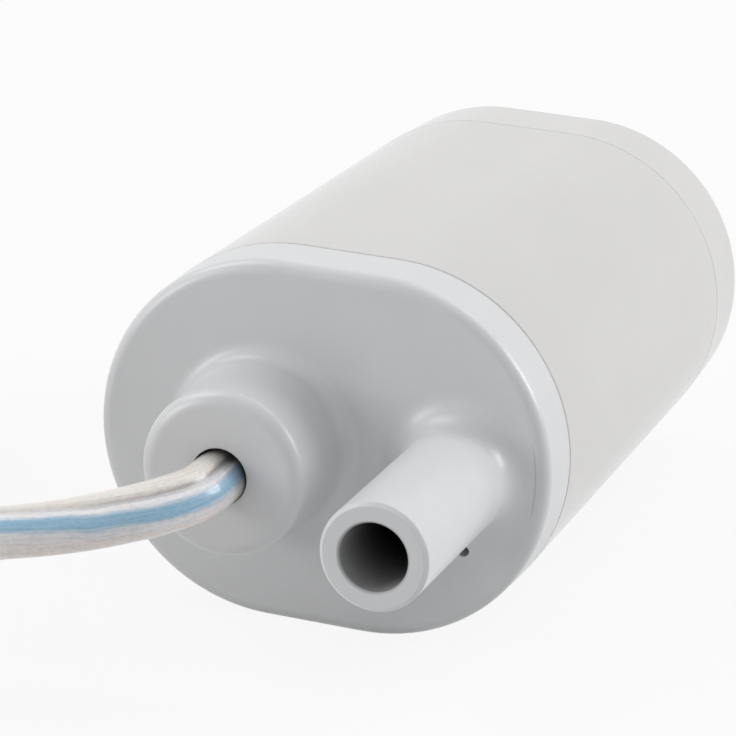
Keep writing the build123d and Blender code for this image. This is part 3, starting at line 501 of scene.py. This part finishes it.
def cable_plastic(name):
    """Clear two-core sheath: bands of colour round it, with strands that show through lengthwise."""
    material, tree, shader = new_material(name)
    section = add_node(tree, "Attribute", attribute_name="section").outputs["Vector"]
    parts = split(tree, section)
    share = round_cable(tree, section, parts)
    tones = {
        "clear": colours().cable_clear,
        # The far sides' colour is partly painted bounce light from the floor
        "shade": colours().cable_far_side_and_bounce_light,
        "web": colours().cable_web,
        "blue": colours().cable_blue,
    }
    banded = stops(tree, share, [(degrees / 360 + 0.5, tones[tone]) for degrees, tone in CABLE_BANDS])
    strands = noise_over(tree, scaled(tree, section, STRAND_SCALE), Detail=4, Roughness=0.6)
    streaks = tint(tree, strands, (0.80, 0.77, 0.76), (1.0, 1.0, 1.0), 0.34, 0.62)
    spots = noise_over(tree, scaled(tree, section, MOTTLE_SCALE), Detail=3)
    mottle = tint(tree, spots, (0.84, 0.88, 0.91), (1.0, 1.0, 1.0), 0.35, 0.55)
    mottled = darkened(tree, darkened(tree, banded, streaks, 0.8), mottle, 0.8)
    # Painted shade in the groove between the cores: dark near the hole, and fading further out
    line = stops(tree, share, [(degrees / 360 + 0.5, [depth] * 3) for degrees, depth in GROOVE_SHADE_LINE])
    groove_shade_fade = spread(tree, parts["Z"], 0.95, 0.12, 17 * MM, 30 * MM)
    groove_shaded = blend(tree, product(tree, line, groove_shade_fade), mottled, colours().cable_groove_shade)
    # Painted shade: the sheath darkens where it goes into the boss
    entry = spread(tree, parts["Z"], 0.85, 0, 13.8 * MM, 16.6 * MM)
    entry_shaded = blend(tree, entry, groove_shaded, (0.03, 0.03, 0.032))
    tree.links.new(entry_shaded, shader.inputs["Base Color"])
    tree.links.new(spread(tree, strands, 0.29, 0.42), shader.inputs["Roughness"])
    shader.inputs["Coat Weight"].default_value = 0.5
    shader.inputs["Coat Roughness"].default_value = 0.12
    shader.inputs["Subsurface Weight"].default_value = 0.12
    shader.inputs["Subsurface Scale"].default_value = 0.8 * MM
    relief(tree, shader, strands, 0.05 * MM, 0.35)
    return material


# Each material slot of the record and how its finish is made
FINISHES = {
    "housing_plastic": housing_plastic,
    "cap_plastic": cap_plastic,
    "cable_sheath": core_insulation,
    "inner_plastic": lambda name: plastic(name, (0.52, 0.52, 0.51), 0.45),
    "white_nylon": lambda name: plastic(name, (0.74, 0.72, 0.66), 0.4),
    "impeller_plastic": lambda name: plastic(name, (0.035, 0.035, 0.04), 0.35),
    "ball_plastic": lambda name: plastic(name, (0.78, 0.78, 0.75), 0.25),
    "lead_insulation": lambda name: plastic(name, (0.6, 0.57, 0.53), 0.3),
    "phenolic": lambda name: plastic(
        name, (0.035, 0.018, 0.012), 0.4, grain=0.12 * MM, depth=0.02 * MM
    ),
    "ceramic": lambda name: plastic(
        name, (0.34, 0.12, 0.025), 0.3, grain=0.5 * MM, depth=0.03 * MM
    ),
    "fibre": lambda name: pressed(name, (0.26, 0.15, 0.075), 0.0, 0.8, 0.3 * MM),
    "black_rubber": lambda name: rubber(name, (0.012, 0.012, 0.012)),
    "stainless_steel": lambda name: metal(name, (0.62, 0.62, 0.63), 0.22),
    "plated_steel": lambda name: metal(name, (0.56, 0.57, 0.59), 0.32, (4, 10, 4)),
    "spring_steel": lambda name: metal(name, (0.2, 0.21, 0.24), 0.3),
    "brass": lambda name: metal(name, (0.7, 0.5, 0.2), 0.3),
    "copper": lambda name: metal(name, (0.72, 0.36, 0.22), 0.28),
    "tinned_copper": lambda name: metal(
        name, (0.7, 0.69, 0.66), 0.25, (12, 1, 1), 0.25 * MM, 0.02 * MM
    ),
    "core_steel": lambda name: laminated(name, (0.3, 0.31, 0.33)),
    "enamelled_copper": lambda name: wound(name, (0.45, 0.16, 0.06)),
    "ferrite": lambda name: pressed(name, (0.03, 0.03, 0.034), 0.2, 0.55),
    "carbon": lambda name: pressed(name, (0.02, 0.02, 0.021), 0.1, 0.6),
    "sintered_bronze": lambda name: pressed(name, (0.42, 0.24, 0.1), 0.85, 0.4),
}


def smooth(share):
    """Share from 0 to 1 that starts and ends gently."""
    return share * share * (3 - 2 * share)


def cable_route():
    """Control points of the whole cable, from inside the boss to its cut end."""
    points = [Vector(point) * MM for point in ROUTE]
    crossings = []
    for turn in range(COIL_TURNS_IN):
        radius = COIL_RADIUS - turn * COIL_PITCH
        crossings.append((radius, LAYER_ONE))
        crossings.append((radius, LAYER_ONE))
    inner = COIL_RADIUS - COIL_TURNS_IN * COIL_PITCH
    for turn in range(COIL_TURNS_IN - 1):
        crossings.append((inner + turn * COIL_PITCH, LAYER_TWO))
        crossings.append((inner + (turn + 2) * COIL_PITCH, LAYER_TWO))
    crossings.append((inner + (COIL_TURNS_IN - 1) * COIL_PITCH, LAYER_TWO))
    half = POINTS_PER_TURN // 2
    for index, (start, end) in enumerate(zip(crossings, crossings[1:])):
        for step in range(half):
            share = step / half
            ease = smooth(share)
            radius = start[0] + (end[0] - start[0]) * ease
            height = start[1] + (end[1] - start[1]) * ease
            angle = math.radians(-90) - math.pi * (index + share)
            across = Vector((radius * math.cos(angle), radius * math.sin(angle), height))
            points.append(COIL_CENTRE + across)
    last = crossings[-1]
    end = COIL_CENTRE + Vector((0, -last[0], last[1]))
    points.append(end)
    points.append(end - Vector((CABLE_END_STRAIGHT, 0, 0)))
    return points


def spline_points(points, resolution):
    """Points along the smooth line of a route."""
    curve = bpy.data.curves.new("cable_route", "CURVE")
    curve.dimensions = "3D"
    curve.resolution_u = resolution
    spline = curve.splines.new("NURBS")
    spline.points.add(len(points) - 1)
    for knot, point in zip(spline.points, points):
        knot.co = (*point, 1)
    spline.order_u = 3
    spline.use_endpoint_u = True
    holder = bpy.data.objects.new("cable_route", curve)
    mesh = bpy.data.meshes.new_from_object(holder)
    line = [vertex.co.copy() for vertex in mesh.vertices]
    bpy.data.objects.remove(holder)
    bpy.data.curves.remove(curve)
    bpy.data.meshes.remove(mesh)
    return line


def cable_lean(run):
    """Angle that the cable's flat side leans over at a run along it."""
    place = run / MM
    if place <= CABLE_ROLL[0][0]:
        return math.radians(CABLE_ROLL[0][1])
    for (start, low), (end, high) in zip(CABLE_ROLL, CABLE_ROLL[1:]):
        if place <= end:
            share = (place - start) / (end - start)
            return math.radians(low + (high - low) * smooth(share))
    return math.radians(CABLE_ROLL[-1][1])


def cable_radius(angle):
    """Distance of the cable's surface from its middle, at an angle from the middle of its flat side."""
    flat = math.cos(angle) / (sizes().cable_thickness / 2)
    wide = math.sin(angle) / (sizes().cable_width / 2)
    oval = 1 / math.hypot(flat, wide)
    from_groove = min(abs(angle), math.pi - abs(angle))
    dip = math.exp(-((from_groove / math.radians(GROOVE_SPREAD)) ** 2))
    return oval - sizes().groove_depth * dip


def place_section(verts, layer, place, heading, run):
    """Moves a ring of the cable to its place, with its roll there."""
    side = Vector((0, 0, 1)).cross(heading).normalized()
    up = heading.cross(side)
    lean = cable_lean(run)
    flat = up * math.cos(lean) + side * math.sin(lean)
    wide = side * math.cos(lean) - up * math.sin(lean)
    for vert in verts:
        cosine, sine, _ = vert[layer]
        radius = cable_radius(math.atan2(sine, cosine))
        vert.co = place + (flat * cosine + wide * sine) * radius
        vert[layer] = (cosine, sine, run)


class PUMP_OT_cable(bpy.types.Operator):
    """Builds the flat two-core cable from the boss to the coil."""

    bl_idname = "pump.cable"
    bl_label = "Cable"

    def execute(self, context):
        line = spline_points(cable_route(), LINE_RESOLUTION)
        bm = bmesh.new()
        layer = bm.verts.layers.float_vector.new("section")
        ring = bmesh.ops.create_circle(bm, segments=sizes().section_points, radius=1)["verts"]
        for vert in ring:
            vert[layer] = (vert.co.x, vert.co.y, 0)
        edges = bm.edges[:]
        place_section(ring, layer, line[0], (line[1] - line[0]).normalized(), 0)
        bmesh.ops.edgeloop_fill(bm, edges=edges)
        run = 0.0
        for before, place, after in zip(line, line[1:], line[2:] + line[-1:]):
            run += (place - before).length
            grown = bmesh.ops.extrude_edge_only(bm, edges=edges)["geom"]
            ring = [part for part in grown if isinstance(part, bmesh.types.BMVert)]
            fresh = set(ring)
            edges = [
                part
                for part in grown
                if isinstance(part, bmesh.types.BMEdge) and fresh.issuperset(part.verts)
            ]
            heading = (place - before).normalized() + (after - place).normalized()
            place_section(ring, layer, place, heading.normalized(), run)
        bmesh.ops.edgeloop_fill(bm, edges=edges)
        bmesh.ops.recalc_face_normals(bm, faces=bm.faces[:])
        for face in bm.faces:
            face.smooth = len(face.verts) == 4
        cable = link_object("cable", bm, cable_plastic("cable_sheath_two_core"))
        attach(cable, "pump")
        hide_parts("cable_entry", "supply_cable", "cable_coil")
        return {"FINISHED"}


class PUMP_OT_finishes(bpy.types.Operator):
    """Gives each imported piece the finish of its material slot."""

    bl_idname = "pump.finishes"
    bl_label = "Finishes"

    def execute(self, context):
        made = {}
        for part in frame["record"]["subparts"]:
            slot = part["material_slot"]
            if slot not in made:
                made[slot] = FINISHES[slot](slot)
            piece = frame["nodes"][part["node"]]
            piece.data.materials.clear()
            piece.data.materials.append(made[slot])
        return {"FINISHED"}


# Camera at the photograph's place: where it stands, the point it faces and its roll
CAMERA_PLACE = Vector((108.28, -315.11, 130.62)) * MM
CAMERA_TARGET = Vector((4.40, -22.45, 26.35)) * MM
CAMERA_ROLL = math.radians(2.79)
LENS_MM = 175.74


def camera_axes():
    """Right, up and back directions of the rolled camera."""
    back = (CAMERA_PLACE - CAMERA_TARGET).normalized()
    level_right = Vector((0, 0, 1)).cross(back).normalized()
    level_up = back.cross(level_right)
    right = level_right * math.cos(CAMERA_ROLL) + level_up * math.sin(CAMERA_ROLL)
    up = level_up * math.cos(CAMERA_ROLL) - level_right * math.sin(CAMERA_ROLL)
    return right, up, back


def seen_rays(tree):
    """One for rays that see the background itself: from the camera, and by gloss and through glass."""
    paths = add_node(tree, "LightPath")
    reflected = add_node(tree, "Math", operation="MAXIMUM")
    seen = add_node(tree, "Math", operation="MAXIMUM")
    tree.links.new(paths.outputs["Is Glossy Ray"], reflected.inputs[0])
    tree.links.new(paths.outputs["Is Transmission Ray"], reflected.inputs[1])
    tree.links.new(paths.outputs["Is Camera Ray"], seen.inputs[0])
    tree.links.new(reflected.outputs["Value"], seen.inputs[1])
    return seen.outputs["Value"]


def area_lamp(name, place, width, height, power):
    """Rectangular lamp that faces the pump."""
    light = bpy.data.lights.new(name, "AREA")
    light.shape = "RECTANGLE"
    light.size = width
    light.size_y = height
    light.energy = power
    lamp = bpy.data.objects.new(name, light)
    lamp.location = place
    lamp.rotation_euler = (PUMP_MIDDLE - Vector(place)).to_track_quat("-Z", "Y").to_euler()
    bpy.context.scene.collection.objects.link(lamp)


# Lamps of the studio: place, width and height in metres, and power in watts, all facing the pump
PUMP_MIDDLE = Vector((0, 0, 17)) * MM
LAMPS = {
    "high_back": ((0.321, 0.557, 0.766), 0.5, 0.5, 1.3),
    "high_left": ((-0.643, 0.0, 0.766), 0.5, 0.5, 3.0),
    "high_front": ((0.321, -0.557, 0.766), 0.5, 0.5, 0.21),
    "low_right": ((0.778, 0.449, 0.438), 0.45, 0.4, 4.9),
    "low_left": ((-0.787, -0.551, 0.276), 0.45, 0.4, 2.5),
}
WORLD_COLOUR = (0.98, 0.985, 1.0)
WORLD_STRENGTH = 0.46

# Half the floor's width in metres, and the share of its colour that shows plain white
FLOOR_HALF_WIDTH = 3
FLOOR_WHITENESS = 0.9


class PUMP_OT_stage(bpy.types.Operator):
    """Builds the floor, the lamps and the camera."""

    bl_idname = "pump.stage"
    bl_label = "Stage"

    def execute(self, context):
        scene = context.scene
        view = bpy.data.cameras.new("camera")
        view.sensor_width = 36
        view.lens = LENS_MM
        view.clip_start = 0.01
        camera = bpy.data.objects.new("camera", view)
        scene.collection.objects.link(camera)
        right, up, back = camera_axes()
        turn = Matrix((right, up, back)).transposed().to_4x4()
        camera.matrix_world = Matrix.Translation(CAMERA_PLACE) @ turn
        scene.camera = camera
        self.build_floor()
        self.build_world(scene)
        for name, facts in LAMPS.items():
            area_lamp(name, *facts)
        scene.view_settings.view_transform = "Standard"
        return {"FINISHED"}

    def build_floor(self):
        """Wide pale floor that shows white and keeps a faint shadow."""
        bm = bmesh.new()
        bmesh.ops.create_grid(bm, x_segments=8, y_segments=8, size=FLOOR_HALF_WIDTH)
        material, tree, shader = new_material("studio_floor")
        white = add_node(tree, "Emission", inputs={"Strength": 1})
        share = add_node(tree, "Math", operation="MULTIPLY")
        share.inputs[1].default_value = FLOOR_WHITENESS
        mix = add_node(tree, "MixShader")
        paper = tint(tree, noise(tree, 3 * MM, detail=3), (0.60, 0.60, 0.60), (0.63, 0.63, 0.63))
        tree.links.new(paper, shader.inputs["Base Color"])
        tree.links.new(seen_rays(tree), share.inputs[0])
        tree.links.new(share.outputs[0], mix.inputs[0])
        tree.links.new(shader.outputs[0], mix.inputs[1])
        tree.links.new(white.outputs[0], mix.inputs[2])
        tree.links.new(mix.outputs[0], tree.nodes["Material Output"].inputs["Surface"])
        shader.inputs["Roughness"].default_value = 0.9
        floor = link_object("floor", bm, material)

    def build_world(self, scene):
        """Soft even light all round, seen as white."""
        world = bpy.data.worlds.new("studio")
        scene.world = world
        world.use_nodes = True
        tree = world.node_tree
        soft = tree.nodes["Background"]
        soft.inputs["Color"].default_value = (*WORLD_COLOUR, 1)
        soft.inputs["Strength"].default_value = WORLD_STRENGTH
        bright = add_node(tree, "Background", inputs={"Strength": 1, "Color": (1, 1, 1, 1)})
        choose = add_node(tree, "MixShader")
        tree.links.new(seen_rays(tree), choose.inputs[0])
        tree.links.new(soft.outputs[0], choose.inputs[1])
        tree.links.new(bright.outputs[0], choose.inputs[2])
        tree.links.new(choose.outputs[0], tree.nodes["World Output"].inputs["Surface"])


class PUMP_PT_panel(bpy.types.Panel):
    """Shows a button for each of the pump's build steps."""

    bl_label = "Water Pump"
    bl_idname = "PUMP_PT_panel"
    bl_space_type = "VIEW_3D"
    bl_region_type = "UI"
    bl_category = "Water Pump"

    def draw(self, context):
        for operator in BUILD_ORDER:
            self.layout.operator(operator.bl_idname)


BUILD_ORDER = (PUMP_OT_cable, PUMP_OT_finishes, PUMP_OT_stage)
CLASSES = (PumpSizes, PumpColours, *BUILD_ORDER, PUMP_PT_panel)


def register():
    """Registers the classes and the scene's settings."""
    for entry in CLASSES:
        bpy.utils.register_class(entry)
    bpy.types.Scene.pump_sizes = PointerProperty(type=PumpSizes)
    bpy.types.Scene.pump_colours = PointerProperty(type=PumpColours)


def unregister():
    """Removes the scene's settings and the classes."""
    del bpy.types.Scene.pump_colours
    del bpy.types.Scene.pump_sizes
    for entry in reversed(CLASSES):
        bpy.utils.unregister_class(entry)


def main():
    """Builds the whole scene."""
    register()
    bpy.ops.pump.cable()
    bpy.ops.pump.finishes()
    bpy.ops.pump.stage()


if __name__ == "__main__":
    main()
